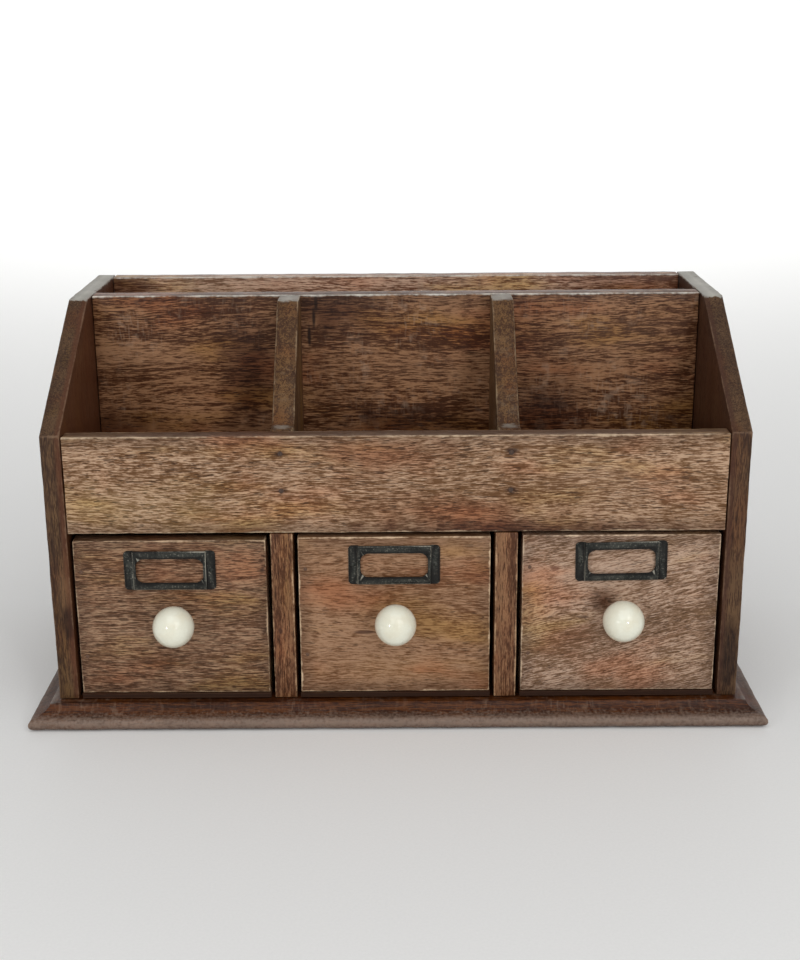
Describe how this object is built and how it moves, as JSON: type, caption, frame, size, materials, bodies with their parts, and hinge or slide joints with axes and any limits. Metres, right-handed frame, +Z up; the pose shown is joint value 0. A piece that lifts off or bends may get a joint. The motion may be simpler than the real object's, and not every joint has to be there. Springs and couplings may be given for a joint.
{
  "type": "desk organizer",
  "caption": "Wooden desktop organizer with open compartments and a letter slot above small drawers with round ceramic knobs and metal card frames.",
  "frame": {"origin": "middle of the underside of the base board", "axes": "+Z up, -Y out of the front where the drawers open, +X to the right seen from the front"},
  "size_m": [0.43, 0.2189, 0.234],
  "materials": {
    "base_wood": "waxed, dark brown, worn pale along the bead",
    "side_wood": "waxed, grey brown, rubbed edges",
    "panel_wood": "waxed, tan with fine dark grain",
    "partition_wood": "waxed, dark red brown",
    "divider_wood": "waxed, grey brown",
    "inner_wood": "waxed, dark brown with sanding marks",
    "drawer_wood": "waxed, mid brown, pale worn edges",
    "drawer_box_wood": "bare, lightly stained",
    "drawer_ply": "thin plywood, stained edge",
    "aged_steel": "dark antiqued, scuffed",
    "nail_steel": "bright drawn",
    "zinc_steel": "zinc plated",
    "insert_brass": "plain turned",
    "ivory_glaze": "glossy ivory glaze"
  },
  "bodies": {
    "carcass": {"base_board": "base_wood", "left_side": "side_wood", "right_side": "side_wood", "shelf": "inner_wood", "left_partition": "partition_wood", "right_partition": "partition_wood", "left_divider": "divider_wood", "right_divider": "divider_wood", "front_panel": "panel_wood", "middle_panel": "inner_wood", "back_panel": "inner_wood", "front_panel_nails": "nail_steel", "left_side_nails": "nail_steel", "right_side_nails": "nail_steel", "middle_panel_nails": "nail_steel", "back_panel_nails": "nail_steel", "base_nails": "nail_steel"},
    "left_drawer": {"left_drawer_front": "drawer_wood", "left_drawer_left_wall": "drawer_box_wood", "left_drawer_right_wall": "drawer_box_wood", "left_drawer_back": "drawer_box_wood", "left_drawer_bottom": "drawer_ply", "left_card_frame": "aged_steel", "left_card_frame_pins": "aged_steel", "left_knob": "ivory_glaze", "left_knob_insert": "insert_brass", "left_knob_screw": "zinc_steel", "left_knob_washer": "zinc_steel", "left_drawer_nails": "nail_steel", "left_drawer_brads": "nail_steel"},
    "middle_drawer": {"middle_drawer_front": "drawer_wood", "middle_drawer_left_wall": "drawer_box_wood", "middle_drawer_right_wall": "drawer_box_wood", "middle_drawer_back": "drawer_box_wood", "middle_drawer_bottom": "drawer_ply", "middle_card_frame": "aged_steel", "middle_card_frame_pins": "aged_steel", "middle_knob": "ivory_glaze", "middle_knob_insert": "insert_brass", "middle_knob_screw": "zinc_steel", "middle_knob_washer": "zinc_steel", "middle_drawer_nails": "nail_steel", "middle_drawer_brads": "nail_steel"},
    "right_drawer": {"right_drawer_front": "drawer_wood", "right_drawer_left_wall": "drawer_box_wood", "right_drawer_right_wall": "drawer_box_wood", "right_drawer_back": "drawer_box_wood", "right_drawer_bottom": "drawer_ply", "right_card_frame": "aged_steel", "right_card_frame_pins": "aged_steel", "right_knob": "ivory_glaze", "right_knob_insert": "insert_brass", "right_knob_screw": "zinc_steel", "right_knob_washer": "zinc_steel", "right_drawer_nails": "nail_steel", "right_drawer_brads": "nail_steel"}
  },
  "joints": [
    {"name": "left_drawer_slide", "type": "slide", "parent": "carcass", "child": "left_drawer", "axis": [0, -1, 0], "range_m": [0, 0.15]},
    {"name": "middle_drawer_slide", "type": "slide", "parent": "carcass", "child": "middle_drawer", "axis": [0, -1, 0], "range_m": [0, 0.15]},
    {"name": "right_drawer_slide", "type": "slide", "parent": "carcass", "child": "right_drawer", "axis": [0, -1, 0], "range_m": [0, 0.15]}
  ]
}
